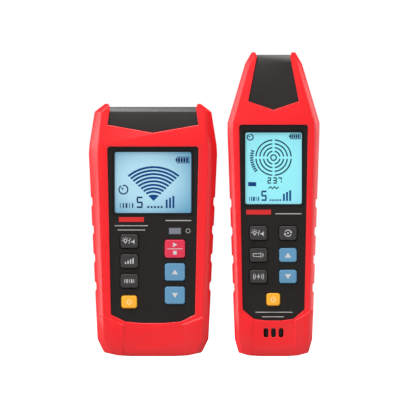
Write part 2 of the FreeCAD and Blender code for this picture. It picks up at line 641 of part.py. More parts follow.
def keypad(unit):
    """Key caps, each with a flange that keeps it behind the face."""
    for key in unit.keys:
        cap = Piece(unit, f"key_{key}")
        cap.add("key_flange_front - 0.2", "key_front", lambda d: key_outline(d, key, "0"))
        cap.add("key_flange_back", "key_flange_front",
                lambda d: key_outline(d, key, "key_flange_border"))
        cap.round_face("key_softening", "key_front")


def power(unit):
    """Battery block, its snap contacts, the door and the door fixings."""
    battery = Piece(unit, "battery")
    depth = "(battery_front - battery_back) / 2"
    battery.add("battery_low_z", "battery_shoulder_z", lambda d: d.rounded(
        "0", f"-(battery_front + battery_back) / 2", "battery_half", depth, "battery_corner"), "XY")
    middle = "-battery_middle"
    battery.add("battery_shoulder_z", "battery_top_z", lambda d: d
                .circle("-terminal_x", middle, "small_terminal_radius")
                .circle("terminal_x", middle, "large_terminal_radius"), "XY")
    battery.cut("battery_shoulder_z", "battery_top_z",
                circles([("terminal_x", middle)], "large_terminal_bore"), "XY")
    contacts = Piece(unit, "battery_contacts")
    contacts.add("snap_plate_low_z", "snap_plate_top_z", lambda d: d.rounded(
        "0", middle, "battery_half - 0.5", "6", "2"), "XY")
    contacts.add("snap_low_z", "snap_plate_low_z", lambda d: d
                 .circle("-terminal_x", middle, "snap_ring_radius")
                 .circle("-terminal_x", middle, "snap_ring_bore")
                 .circle("terminal_x", middle, "snap_stud_radius"), "XY")
    door = Piece(unit, "battery_door")
    door.add("door_back", "door_inside", lambda d: d.rounded(
        "0", "(door_low_z + door_top_z) / 2", "door_half", "(door_top_z - door_low_z) / 2",
        "door_corner"))
    door.add("door_inside", "peg_front",
             circles([("peg_x", "peg_z"), ("-peg_x", "peg_z")], "peg_radius"))
    door.cut_through(circles([("0", "insert_z")], "door_screw_hole"))
    door.cut("-everywhere", "door_screw_seat", circles([("0", "insert_z")], "door_screw_recess"))
    insert = Piece(unit, "door_insert")
    insert.add("insert_back", "insert_front", lambda d: d
               .circle("0", "insert_z", "insert_radius").circle("0", "insert_z", "insert_bore"))
    screw = Piece(unit, "door_screw")
    screw_set(screw, [("0", "insert_z")], "door_screw", "door_screw_tip", "door_screw_seat",
              "door_screw_head_back")
    screws = Piece(unit, "case_screws")
    screw_set(screws, case_screw_places(), "screw", "screw_tip", "screw_seat", "screw_head_back")


def screw_set(piece, places, name, tip, seat, back):
    """Identical cross-slotted screws, one solid at each place."""
    radius = f"{name}_radius" if name == "door_screw" else f"{name}_shank_radius"
    piece.add(seat, tip, circles(places, radius))
    piece.add(back, seat, circles(places, f"{name}_head_radius"))
    for wide, tall in (("screw_slot_half", "screw_slot_width"),
                       ("screw_slot_width", "screw_slot_half")):
        piece.cut(f"{back} - 1", f"{back} + 0.6",
                  lambda d: [d.rectangle(x, z, wide, tall) for x, z in places])


def transmitter_extras(unit):
    """Signal indicator and the pair of lead sockets in the head."""
    window = Piece(unit, "indicator_window")
    window.add("key_flange_front - 0.2", "shell_face", lambda d: d.rectangle(
        "$indicator_x", "$indicator_z", "$indicator_half", "$indicator_height"))
    window.add("key_flange_back", "key_flange_front", lambda d: d.rectangle(
        "$indicator_x", "$indicator_z", "$indicator_half + $indicator_border",
        "$indicator_height + $indicator_border"))
    led = Piece(unit, "indicator_led")
    led.add("board_front", "$indicator_led_front", lambda d: d.rectangle(
        "$indicator_x", "$indicator_z", "$indicator_led_half", "$indicator_led_height"))
    for colour, side in (("red", ""), ("black", "-")):
        collar = Piece(unit, f"socket_collar_{colour}")
        place = [(f"{side}$socket_x", "0")]
        collar.add("$collar_low_z", "$top_z", circles(place, "$collar_radius"), "XY")
        collar.add("$collar_low_z", "$collar_rim_z", circles(place, "$collar_rim_radius"), "XY")
        collar.cut("$collar_low_z", "$top_z", circles(place, "$collar_bore"), "XY")
    contacts = Piece(unit, "socket_contacts")
    places = [("$socket_x", "0"), ("-$socket_x", "0")]
    contacts.add("$contact_low_z", "$contact_top_z", circles(places, "$contact_radius"), "XY")
    contacts.cut("$contact_floor_z", "$contact_top_z", circles(places, "$contact_bore"), "XY")


def receiver_extras(unit):
    """Torch and the pick-up coil in the nose."""
    lens = Piece(unit, "torch_lens")
    lens.add("$torch_flange_low_z", "$torch_top_z", circles([("0", "0")], "$torch_radius"), "XY")
    lens.add("$torch_flange_low_z", "$torch_flange_top_z",
             circles([("0", "0")], "$torch_flange_radius"), "XY")
    led = Piece(unit, "torch_led")
    led.add("$led_base_z", "$led_base_z + 1", circles([("0", "0")], "$led_rim_radius"), "XY")
    led.add("$led_base_z", "$led_top_z", circles([("0", "0")], "$led_radius"), "XY")
    rod = Piece(unit, "sensor_rod")
    axis = [("0", "-$sensor_reach")]
    rod.add("$rod_low_z", "$rod_top_z", circles(axis, "$rod_radius"), "XY")
    coil = Piece(unit, "sensor_coil")
    coil.add("$coil_low_z", "$coil_top_z", circles(axis, "$coil_radius"), "XY")
    for low in ("$coil_low_z", "$coil_top_z - $flange_thickness"):
        coil.add(low, f"{low} + $flange_thickness",
                 lambda d: d.rectangle(*axis[0], "$flange_half", "$flange_half"), "XY")
    coil.cut("$coil_low_z - 1", "$coil_top_z + 1", circles(axis, "$coil_bore"), "XY")
    plate = Piece(unit, "antenna_plate")
    plate.add("$sensor_reach + $flange_half", "$sensor_reach + $flange_half + $plate_thickness",
              lambda d: d.rectangle("0", "($coil_low_z + $coil_top_z) / 2", "$plate_half",
                                    "($coil_top_z - $coil_low_z) / 2"))


def build(unit):
    """Pieces that both instruments share."""
    front_overmould(unit)
    rear_overmould(unit)
    front_shell(unit)
    rear_shell(unit)
    display(unit)
    electronics(unit)
    keypad(unit)
    power(unit)


transmitter = Instrument("transmitter", "tx_", TRANSMITTER_KEYS)
receiver = Instrument("receiver", "rx_", RECEIVER_KEYS)
build(transmitter)
transmitter_head_cap(transmitter)
transmitter_extras(transmitter)
build(receiver)
receiver_head_cap(receiver)
receiver_extras(receiver)
document.recompute()

for item in document.Objects:
    if "Invalid" in item.State or "Error" in item.State:
        raise RuntimeError(f"{item.Label} did not rebuild: {item.State}")
os.makedirs("parts", exist_ok=True)
for body in PIECES:
    if body.Shape.isNull() or not body.Shape.isValid():
        raise RuntimeError(f"{body.Label} is not a valid solid")
    body.Shape.exportStep(f"parts/{body.Label}.step")
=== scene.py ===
import json
import math

import bmesh
import bpy
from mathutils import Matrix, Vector


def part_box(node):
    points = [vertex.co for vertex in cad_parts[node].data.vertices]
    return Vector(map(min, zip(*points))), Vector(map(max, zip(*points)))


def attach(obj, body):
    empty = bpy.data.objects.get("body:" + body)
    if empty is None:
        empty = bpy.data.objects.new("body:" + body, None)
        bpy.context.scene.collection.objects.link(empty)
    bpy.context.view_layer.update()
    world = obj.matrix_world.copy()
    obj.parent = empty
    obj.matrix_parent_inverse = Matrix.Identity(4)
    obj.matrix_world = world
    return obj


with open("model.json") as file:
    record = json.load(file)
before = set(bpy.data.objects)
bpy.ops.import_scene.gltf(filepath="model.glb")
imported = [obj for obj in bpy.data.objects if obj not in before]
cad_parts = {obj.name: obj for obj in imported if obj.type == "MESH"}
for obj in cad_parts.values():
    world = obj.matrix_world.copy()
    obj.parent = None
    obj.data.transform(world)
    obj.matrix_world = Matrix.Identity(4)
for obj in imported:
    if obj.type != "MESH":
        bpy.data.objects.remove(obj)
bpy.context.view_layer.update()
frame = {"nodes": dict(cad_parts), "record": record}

MM = 0.001
PROUD = 0.03 * MM  # how far print stands off the face it is on
WELD_DISTANCE = 0.004 * MM
FLAT_ANGLE = math.radians(0.6)
EDGE_ANGLE = math.radians(22.0)
UNITS = ("transmitter", "receiver")
SLOTS = {entry["node"]: entry["material_slot"] for entry in frame["record"]["subparts"]}


def middle_of(node):
    """Middle of a CAD node's box."""
    low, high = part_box(node)
    return (low + high) / 2


def half_size(node):
    """Half the size of a CAD node's box along each axis."""
    low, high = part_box(node)
    return (high - low) / 2


# ---------------------------------------------------------------- materials

def new_material(name):
    """A material with an empty node tree, its output and one Principled shader."""
    material = bpy.data.materials.new(name)
    material.use_nodes = True
    tree = material.node_tree
    tree.nodes.clear()
    output = tree.nodes.new("ShaderNodeOutputMaterial")
    shader = tree.nodes.new("ShaderNodeBsdfPrincipled")
    tree.links.new(shader.outputs["BSDF"], output.inputs["Surface"])
    return material, tree, shader


def noise(tree, scale, detail):
    """Noise in the piece's own coordinates; scale is in cycles per metre."""
    place = tree.nodes.new("ShaderNodeTexCoord")
    texture = tree.nodes.new("ShaderNodeTexNoise")
    texture.inputs["Scale"].default_value = scale
    texture.inputs["Detail"].default_value = detail
    texture.inputs["Roughness"].default_value = 0.55
    tree.links.new(place.outputs["Object"], texture.inputs["Vector"])
    return texture.outputs["Fac"]


def spread(tree, value, low, high):
    """Map a noise value onto the range low to high."""
    node = tree.nodes.new("ShaderNodeMapRange")
    node.inputs["From Min"].default_value = 0.3
    node.inputs["From Max"].default_value = 0.7
    node.inputs["To Min"].default_value = low
    node.inputs["To Max"].default_value = high
    tree.links.new(value, node.inputs["Value"])
    return node.outputs["Result"]


def blended(tree, value, first, second):
    """Colour that runs from first to second as value goes from 0 to 1."""
    node = tree.nodes.new("ShaderNodeMix")
    node.data_type = "RGBA"
    node.inputs["A"].default_value = (*first, 1.0)
    node.inputs["B"].default_value = (*second, 1.0)
    tree.links.new(value, node.inputs["Factor"])
    return node.outputs["Result"]


def relief(tree, shader, height, distance, strength):
    """Bump from a height value."""
    bump = tree.nodes.new("ShaderNodeBump")
    bump.inputs["Strength"].default_value = strength
    bump.inputs["Distance"].default_value = distance
    tree.links.new(height, bump.inputs["Height"])
    tree.links.new(bump.outputs["Normal"], shader.inputs["Normal"])


def moulded(name, colour, roughness=0.5, shade=0.85, grain=2600.0, depth=0.012, strength=0.35,
            specular=0.4, coat=0.0):
    """Moulded plastic or rubber: fine grain, and slow variation of colour and roughness."""
    material, tree, shader = new_material(name)
    slow = spread(tree, noise(tree, 55.0, 4.0), 0.0, 1.0)
    darker = tuple(channel * shade for channel in colour)
    tree.links.new(blended(tree, slow, darker, colour), shader.inputs["Base Color"])
    fine = noise(tree, grain, 2.0)
    tree.links.new(spread(tree, fine, roughness - 0.06, roughness + 0.06),
                   shader.inputs["Roughness"])
    relief(tree, shader, fine, depth * MM, strength)
    shader.inputs["Specular IOR Level"].default_value = specular
    shader.inputs["Coat Weight"].default_value = coat
    shader.inputs["Coat Roughness"].default_value = 0.25
    return material


def metal(name, colour, roughness=0.3, grain=900.0):
    """Plated or turned metal with a faintly uneven polish."""
    material, tree, shader = new_material(name)
    fine = noise(tree, grain, 4.0)
    darker = tuple(channel * 0.8 for channel in colour)
    tree.links.new(blended(tree, spread(tree, fine, 0.0, 1.0), darker, colour),
                   shader.inputs["Base Color"])
    tree.links.new(spread(tree, fine, roughness - 0.08, roughness + 0.08),
                   shader.inputs["Roughness"])
    relief(tree, shader, fine, 0.01 * MM, 0.3)
    shader.inputs["Metallic"].default_value = 1.0
    return material


def clear(name, tint, alpha):
    """Polished clear plastic: mostly see-through, with its gloss kept."""
    material, tree, shader = new_material(name)
    smudge = noise(tree, 90.0, 5.0)
    darker = tuple(channel * 0.9 for channel in tint)
    tree.links.new(blended(tree, smudge, darker, tint), shader.inputs["Base Color"])
    tree.links.new(spread(tree, smudge, 0.04, 0.09), shader.inputs["Roughness"])
    shader.inputs["Alpha"].default_value = alpha
    return material


def display_glow_and_painted_shade(name, edge, middle, glow, centre, reach):
    """LCD glass glowing from its backlight: brighter about a given point and darker towards the
    edges, which is painted light and shade of the recessed glass, with a faint diffuser grain.
    """
    material, tree, shader = new_material(name)
    place = tree.nodes.new("ShaderNodeTexCoord")
    shift = tree.nodes.new("ShaderNodeVectorMath")
    shift.operation = "SUBTRACT"
    shift.inputs[1].default_value = centre
    tree.links.new(place.outputs["Object"], shift.inputs[0])
    squeeze = tree.nodes.new("ShaderNodeVectorMath")
    squeeze.operation = "DIVIDE"
    squeeze.inputs[1].default_value = (reach[0], 1.0, reach[1])
    tree.links.new(shift.outputs["Vector"], squeeze.inputs[0])
    distance = tree.nodes.new("ShaderNodeVectorMath")
    distance.operation = "LENGTH"
    tree.links.new(squeeze.outputs["Vector"], distance.inputs[0])
    # painted light and shade: full brightness about the given point, falling to the darker edge
    # colour towards the rim of the recess
    painted_shade_falloff = tree.nodes.new("ShaderNodeMapRange")
    painted_shade_falloff.interpolation_type = "SMOOTHSTEP"
    painted_shade_falloff.inputs["From Min"].default_value = 0.45
    painted_shade_falloff.inputs["From Max"].default_value = 1.6
    painted_shade_falloff.inputs["To Min"].default_value = 1.0
    painted_shade_falloff.inputs["To Max"].default_value = 0.0
    tree.links.new(distance.outputs["Value"], painted_shade_falloff.inputs["Value"])
    dim_edge, dim_middle = (tuple(0.5 * channel for channel in tint) for tint in (edge, middle))
    tree.links.new(blended(tree, painted_shade_falloff.outputs["Result"], dim_edge, dim_middle),
                   shader.inputs["Base Color"])
    tree.links.new(blended(tree, painted_shade_falloff.outputs["Result"], edge, middle),
                   shader.inputs["Emission Color"])
    shader.inputs["Emission Strength"].default_value = glow
    grain = noise(tree, 1800.0, 2.0)
    tree.links.new(spread(tree, grain, 0.25, 0.4), shader.inputs["Roughness"])
    return material


MATERIALS = {
    "red_rubber": moulded("red_rubber", (0.80, 0.011, 0.016), 0.34, 0.93, specular=0.46),
    "black_shell": moulded("black_shell", (0.016, 0.0135, 0.0125), 0.45, 0.86, grain=3400.0,
                           specular=0.16),
    "black_nose": moulded("black_nose", (0.020, 0.017, 0.0155), 0.36, 0.88, grain=3400.0,
                          specular=0.42),
    "clear_lens": clear("clear_lens", (0.05, 0.06, 0.07), 0.05),
    # black band round the lens: print, and also painted shade for the dark ring round the recessed
    # display
    "lens_border": moulded("lens_border", (0.010, 0.010, 0.011), 0.3, 0.9, strength=0.05,
                           specular=0.2),
    "light_guide": moulded("light_guide", (0.8, 0.86, 0.9), 0.3, 0.95),
    "circuit_board": moulded("circuit_board", (0.02, 0.16, 0.07), 0.35, 0.7, grain=700.0),
    "silicone_mat": moulded("silicone_mat", (0.012, 0.012, 0.013), 0.6),
    "dark_key": moulded("dark_key", (0.036, 0.033, 0.032), 0.42, 0.88, specular=0.35),
    "blue_key": moulded("blue_key", (0.110, 0.285, 0.46), 0.4, 0.92, specular=0.35),
    "red_key": moulded("red_key", (0.70, 0.030, 0.075), 0.4, 0.92, specular=0.35),
    "orange_key": moulded("orange_key", (0.92, 0.43, 0.026), 0.4, 0.94, specular=0.35),
    "black_part": moulded("black_part", (0.012, 0.012, 0.012), 0.45),
    "smoked_window": moulded("smoked_window", (0.19, 0.205, 0.245), 0.22, 0.85, strength=0.1),
    "led_white": moulded("led_white", (0.8, 0.78, 0.6), 0.25, 0.95, strength=0.1),
    "collar_red": moulded("collar_red", (0.6, 0.012, 0.012), 0.3, strength=0.15),
    "collar_black": moulded("collar_black", (0.012, 0.012, 0.012), 0.3, strength=0.15),
    "brass": metal("brass", (0.78, 0.56, 0.22), 0.28),
    "battery_jacket": moulded("battery_jacket", (0.05, 0.055, 0.06), 0.35, coat=0.3),
    "snap_plate": moulded("snap_plate", (0.03, 0.03, 0.03), 0.5),
    "steel": metal("steel", (0.62, 0.62, 0.64), 0.28),
    "ferrite": moulded("ferrite", (0.03, 0.03, 0.033), 0.55, 0.7, grain=900.0),
    "copper_winding": metal("copper_winding", (0.75, 0.32, 0.14), 0.35, 2500.0),
    "copper_foil": metal("copper_foil", (0.78, 0.40, 0.22), 0.25),
    "print_white": moulded("print_white", (0.55, 0.55, 0.56), 0.5, 0.96, strength=0.05),
    "print_pale": moulded("print_pale", (0.95, 0.72, 0.42), 0.5, 0.96, strength=0.05),
    "print_grey": moulded("print_grey", (0.42, 0.41, 0.40), 0.5, 0.95, strength=0.05),
    "print_red": moulded("print_red", (0.62, 0.012, 0.012), 0.5, 0.95, strength=0.05),
    "segment_navy": moulded("segment_navy", (0.001, 0.026, 0.13), 0.5, 0.8, specular=0.1),
    "segment_blue": moulded("segment_blue", (0.001, 0.062, 0.25), 0.5, 0.85, specular=0.1),
    "segment_teal": moulded("segment_teal", (0.001, 0.055, 0.095), 0.5, 0.85, specular=0.1),
}


# for each display: edge colour darkened as painted shade, middle colour, and where the painted
# light is brightest from its middle
DISPLAY_TINTS = {
    # the transmitter's painted light is brightest up and to the left of its middle, where the key
    # light falls
    "transmitter": ((0.13, 0.375, 0.59), (0.46, 0.76, 0.90), (-5.0 * MM, 0.0, 1.5 * MM)),
    "receiver": ((0.31, 0.83, 0.96), (0.33, 0.92, 1.0), (0.0, 0.0, 0.0)),
}
DISPLAY_GLOW = 0.56
for unit, (edge, centre, offset) in DISPLAY_TINTS.items():
    half = half_size(f"{unit}_lcd_glass")
    painted_light_centre = middle_of(f"{unit}_lcd_glass") + Vector(offset)
    MATERIALS[f"{unit}_lcd"] = display_glow_and_painted_shade(
        f"{unit}_lcd", edge, centre, DISPLAY_GLOW, tuple(painted_light_centre), (half.x, half.z))


def dress(node, material):
    """Give a CAD node its procedural material in every slot."""
    data = frame["nodes"][node]
    for material_slot in data.material_slots:
        material_slot.link = "OBJECT"
        material_slot.material = material


for node, finish in SLOTS.items():
    if finish == "lcd":
        finish = node.split("_")[0] + "_lcd"
    dress(node, MATERIALS[finish])


# ---------------------------------------------------------------- softened edges

def geometry_group(name):
    """An empty geometry node group, with where its mesh comes in and where it leaves."""
    group = bpy.data.node_groups.new(name, "GeometryNodeTree")
    group.interface.new_socket("Geometry", in_out="INPUT", socket_type="NodeSocketGeometry")
    group.interface.new_socket("Geometry", in_out="OUTPUT", socket_type="NodeSocketGeometry")
    return group, group.nodes.new("NodeGroupInput"), group.nodes.new("NodeGroupOutput")


def smooth_group():
    """Geometry nodes that shade every face smooth, for the bevel to harden again."""
    group, entry, leave = geometry_group("shade_smooth")
    smooth = group.nodes.new("GeometryNodeSetShadeSmooth")
    group.links.new(entry.outputs[0], smooth.inputs["Geometry"])
    group.links.new(smooth.outputs["Geometry"], leave.inputs[0])
    return group


def halves_group(middle):
    """Geometry nodes that part a mesh into a left and a right half at x = middle."""
    group, entry, leave = geometry_group("halves")
    place = group.nodes.new("GeometryNodeInputPosition")
    parts = group.nodes.new("ShaderNodeSeparateXYZ")
    before = group.nodes.new("FunctionNodeCompare")
    before.operation = "LESS_THAN"
    before.inputs["B"].default_value = middle
    split = group.nodes.new("GeometryNodeSeparateGeometry")
    split.domain = "FACE"
    join = group.nodes.new("GeometryNodeJoinGeometry")
    group.links.new(place.outputs["Position"], parts.inputs["Vector"])
    group.links.new(parts.outputs["X"], before.inputs["A"])
    group.links.new(entry.outputs[0], split.inputs["Geometry"])
    group.links.new(before.outputs["Result"], split.inputs["Selection"])
    group.links.new(split.outputs["Selection"], join.inputs["Geometry"])
    group.links.new(split.outputs["Inverted"], join.inputs["Geometry"])
    group.links.new(join.outputs["Geometry"], leave.inputs[0])
    return group


SMOOTH = smooth_group()


def weld(obj):
    """Join corners that lie at the same place."""
    joined = obj.modifiers.new("weld", "WELD")
    joined.merge_threshold = WELD_DISTANCE


def soften(obj, width, middle=None):
    """Round the sharp edges of an object: join its flat faces, then bevel.

    Where middle is given, each half's faces are joined on their own, so that no flat face runs
    all the way round an opening.
    """
    weld(obj)
    if middle is not None:
        halves = obj.modifiers.new("halves", "NODES")
        halves.node_group = halves_group(middle)
    flat = obj.modifiers.new("flat", "DECIMATE")
    flat.decimate_type = "DISSOLVE"
    flat.angle_limit = FLAT_ANGLE
    if middle is not None:
        weld(obj)
    smooth = obj.modifiers.new("smooth", "NODES")
    smooth.node_group = SMOOTH
    bevel = obj.modifiers.new("bevel", "BEVEL")
    bevel.width = width
    bevel.segments = 3
    bevel.limit_method = "ANGLE"
    bevel.angle_limit = EDGE_ANGLE
    bevel.use_clamp_overlap = False
    bevel.harden_normals = True


# in mm; wider than this, the rounding folds over where edges lie close together
SKIN_ROUNDING = {
    "transmitter_front_overmould": 0.5, "transmitter_rear_overmould": 0.5,
    "receiver_front_overmould": 0.2, "receiver_rear_overmould": 0.4,
}
for node, rounding in SKIN_ROUNDING.items():
    soften(frame["nodes"][node], rounding * MM, middle_of(node).x)
CAP_ROUNDING = 0.5 * MM
SMALL_ROUNDING = 0.3 * MM
for unit in UNITS:
    soften(frame["nodes"][f"{unit}_head_cap"], CAP_ROUNDING)
    soften(frame["nodes"][f"{unit}_battery_door"], SMALL_ROUNDING)
for node, obj in frame["nodes"].items():
    if "_key_" in node:
        soften(obj, SMALL_ROUNDING)


# ---------------------------------------------------------------- flat marks
# A mark is a list of corners in mm, seen from the front, about a middle given when it is placed.

def bar(start, end, width):
    """Straight stroke between two points."""
    a, b = Vector(start), Vector(end)
    along = (b - a).normalized()
    across = Vector((-along.y, along.x)) * width / 2
    return [a - across, b - across, b + across, a + across]


def box_mark(x, z, width, height):
    """Upright rectangle whose middle is at x, z."""
    return bar((x - width / 2, z), (x + width / 2, z), height)


def arc(centre, radius, width, start, end, steps=28):
    """Band of a ring, from one angle to another in degrees."""
    angles = [math.radians(start + (end - start) * step / steps) for step in range(steps + 1)]
    outer = [Vector((centre[0] + (radius + width / 2) * math.cos(a),
                     centre[1] + (radius + width / 2) * math.sin(a))) for a in angles]
    inner = [Vector((centre[0] + (radius - width / 2) * math.cos(a),
                     centre[1] + (radius - width / 2) * math.sin(a))) for a in angles]
    return outer + inner[::-1]


def fan_arc(apex, height, sag, half_angle, width):
    """Flattened arc of a fan: its centre lies sag below the apex the fan opens from."""
    radius = height + sag
    turn = math.radians(half_angle)
    reach = math.sqrt(radius ** 2 - (sag * math.sin(turn)) ** 2) - sag * math.cos(turn)
    sweep = math.degrees(math.atan2(reach * math.sin(turn), reach * math.cos(turn) + sag))
    return arc((apex[0], apex[1] - sag), radius, width, 90 - sweep, 90 + sweep, 36)


def fan_tip(apex, height, sag, half_angle):
    """Solid wedge at the foot of a fan, under the same flattened curve."""
    curve = fan_arc(apex, height, sag, half_angle, 0.0)
    return [Vector(apex)] + curve[:len(curve) // 2]


def rounded_box(half_width, half_height, radius):
    """Outline of a rectangle with rounded corners about the origin."""
    steps = 6
    points = []
    for turn, (x, z) in enumerate(((1, 1), (-1, 1), (-1, -1), (1, -1))):
        middle = Vector((x * (half_width - radius), z * (half_height - radius)))
        for step in range(steps + 1):
            angle = math.radians(90 * turn + 90 * step / steps)
            points.append(middle + Vector((math.cos(angle), math.sin(angle))) * radius)
    return points


def border(outer, inner):
    """Strip between two outlines that have the same number of corners."""
    after = outer[1:] + outer[:1], inner[1:] + inner[:1]
    return [[a, b, c, d] for a, b, c, d in zip(outer, after[0], after[1], inner)]


def ring(centre, radius, width):
    """Full ring, as two halves."""
    return [arc(centre, radius, width, 0, 180), arc(centre, radius, width, 180, 360)]


def disc(centre, radius, steps=24):
    """Filled circle."""
    return [Vector((centre[0] + radius * math.cos(2 * math.pi * step / steps),
                    centre[1] + radius * math.sin(2 * math.pi * step / steps)))
            for step in range(steps)]


def path(points, width):
    """Open stroke through several points, with round joints."""
    strokes = [bar(a, b, width) for a, b in zip(points, points[1:])]
    return strokes + [disc(point, width / 2, 12) for point in points[1:-1]]


def outline(points, width):
    """Closed stroke through several points."""
    strokes = [bar(a, b, width) for a, b in zip(points, points[1:] + points[:1])]
    return strokes + [disc(point, width / 2, 12) for point in points]


# which of the seven segments, a to g in their usual order, each figure lights
SEGMENTS = {"2": "abged", "3": "abgcd", "5": "afgcd", "7": "abc"}


def digit(character, x, z, width, height, stroke):
    """Seven-segment figure whose lower left corner is at x, z.

    Level segments run a little past the corners and upright ones stop short, so none overlap.
    """
    level_inset, upright_inset = stroke * -0.3, stroke * 0.56
    left, right = x + stroke / 2, x + width - stroke / 2
    low, middle, high = z + stroke / 2, z + height / 2, z + height - stroke / 2
    ends = {
        "a": ((left, high), (right, high)), "g": ((left, middle), (right, middle)),
        "d": ((left, low), (right, low)),
        "f": ((left, middle), (left, high)), "b": ((right, middle), (right, high)),
        "e": ((left, low), (left, middle)), "c": ((right, low), (right, middle)),
    }
    marks = []
    for name in SEGMENTS[character]:
        start, end = (Vector(point) for point in ends[name])
        inset = (end - start).normalized() * (level_inset if name in "agd" else upright_inset)
        marks.append(bar(start + inset, end - inset, stroke))
    return marks


def plate(name, marks, centre, front, depth, body, finish):
    """Thin raised marks on one plane; front is the y of their face, all in the row frame."""
    mesh = bpy.data.meshes.new(name)
    build = bmesh.new()
    for mark in marks:
        corners = [build.verts.new((centre.x + point.x * MM, front, centre.z + point.y * MM))
                   for point in mark]
        face = build.faces.new(corners)
        solid = bmesh.ops.extrude_face_region(build, geom=[face])
        moved = [item for item in solid["geom"] if isinstance(item, bmesh.types.BMVert)]
        bmesh.ops.translate(build, verts=moved, vec=(0.0, depth, 0.0))
    bmesh.ops.recalc_face_normals(build, faces=build.faces)
    build.to_mesh(mesh)
    build.free()
    piece = bpy.data.objects.new(name, mesh)
    bpy.context.scene.collection.objects.link(piece)
    mesh.materials.append(MATERIALS[finish])
    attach(piece, body)


def on_key(unit, key, marks, finish="print_white"):
    """Symbol printed on the face of one key, riding with it."""
    node = f"{unit}_key_{key}"
    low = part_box(node)[0]
    plate(f"{node}_symbol", marks, middle_of(node), low.y - PROUD, 2 * PROUD, node, finish)


def on_display(unit, name, marks, finish):
    """Dark LCD segments on the front of the glass."""
    node = f"{unit}_lcd_glass"
    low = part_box(node)[0]
    plate(f"{unit}_display_{name}", marks, middle_of(node), low.y - 2 * PROUD, PROUD, unit,
          finish)


def on_face(unit, name, marks, finish):
    """Print on the black face, placed from the middle of the display."""
    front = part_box(f"{unit}_front_shell")[0].y
    plate(f"{unit}_face_{name}", marks, middle_of(f"{unit}_lcd_glass"), front - PROUD,
          2 * PROUD, unit, finish)


# ---------------------------------------------------------------- key symbols

def lamp_and_mute():
    """Lamp with rays, a slash, and a loudspeaker."""
    lamp = Vector((-2.5, 0.4))
    marks = ring(lamp, 0.95, 0.4)
    for angle in range(0, 181, 45):
        turn = math.radians(angle)
        reach = Vector((math.cos(turn), math.sin(turn)))
        marks.append(bar(lamp + reach * 1.5, lamp + reach * 2.2, 0.35))
    marks.append(box_mark(lamp.x, -1.0, 0.9, 0.7))
    marks.append(bar((-0.2, -1.6), (0.6, 1.9), 0.4))
    speaker = ((1.3, -0.8), (2.2, -0.8), (3.3, -2.0), (3.3, 1.2), (2.2, 0.0), (1.3, 0.0))
    marks.append([Vector(point) for point in speaker])
    return marks


def rising_bars():
    """Four bars of growing height, for the level key."""
    return [box_mark(x, -1.7 + height / 2, 0.8, height)
            for x, height in ((-2.4, 1.2), (-0.8, 2.0), (0.8, 2.8), (2.4, 3.6))]


def code_strips():
    """Upright strips of uneven width, for the code key."""
    return [box_mark(x, -0.1, width, 2.4)
            for x, width in ((-2.9, 0.4), (-1.5, 0.8), (0.0, 0.4), (1.5, 0.8), (2.9, 0.4))]


def power_sign():
    """Open ring with a stroke through its gap."""
    stroke = 0.45
    return [arc((0, -0.1), 1.35, stroke, 125, 415, 40), bar((0, 0.1), (0, 1.8), stroke)]


def triangle(up):
    """Triangle that points up or down."""
    half_width, height = 2.1, 3.1
    tip = height / 2 if up else -height / 2
    return [[Vector((-half_width, -tip)), Vector((half_width, -tip)), Vector((0, tip))]]


def start_and_stop():
    """Play triangle over a line, and a stop square under it."""
    play = [Vector((-1.2, 1.2)), Vector((1.6, 2.6)), Vector((-1.2, 4.0))]
    return [play, box_mark(0, 0.0, 9.6, 0.4), box_mark(0, -2.5, 2.3, 2.3)]


def torch_sign():
    """Torch body, its head, and light leaving it."""
    stroke = 0.35
    marks = outline([(-3.4, -0.9), (0.4, -0.9), (0.4, 0.9), (-3.4, 0.9)], stroke)
    marks += outline([(0.4, -0.9), (1.5, -1.4), (1.5, 1.4), (0.4, 0.9)], stroke)
    marks.append(arc((0.9, 0), 2.0, stroke, -38, 38))
    return marks


def field_sign():
    """Lightning bolt between two waves: sensing without contact."""
    bolt = [(0.5, 2.2), (-1.0, -0.3), (-0.05, -0.3), (-0.5, -2.2), (1.0, 0.4), (0.05, 0.4)]
    marks = [[Vector(point) for point in bolt]]
    for side in (0, 180):
        for radius in (2.1, 3.2):
            marks.append(arc((0, 0), radius, 0.4, side - 35, side + 35))
    return marks


def mode_sign():
    """Two facing arrows on rings: automatic and manual change-over."""
    radius = 2.0
    marks = []
    for side in (0, 180):
        marks.append(arc((0, 0), radius, 0.45, side + 25, side + 160))
        turn = math.radians(side + 25)
        out = Vector((math.cos(turn), math.sin(turn)))
        away = Vector((math.sin(turn), -math.cos(turn)))
        tip = out * radius
        marks.append([tip + out * 0.8, tip - out * 0.8, tip + away * 1.2])
    marks.append(disc((0, 0), 0.55))
    return marks


for unit in UNITS:
    on_key(unit, "light", lamp_and_mute())
    on_key(unit, "up", triangle(True))
    on_key(unit, "down", triangle(False))
    on_key(unit, "power", power_sign(), "print_pale")
on_key("transmitter", "level", rising_bars())
on_key("transmitter", "code", code_strips())
on_key("transmitter", "start_stop", start_and_stop())
on_key("receiver", "torch", torch_sign())
on_key("receiver", "sense", field_sign())
on_key("receiver", "mode", mode_sign())


# ---------------------------------------------------------------- displays

def timer_sign(centre, radius, stroke):
    """Round timer with a gap at the top and one hand."""
    x, z = centre
    hand = (x - radius * 0.45, z + radius * 0.45)
    top, tick = (x, z + radius), (x, z + radius * 0.72)
    return [arc(centre, radius, stroke, -240, 85, 40), bar(centre, hand, stroke),
            bar(top, tick, stroke)]


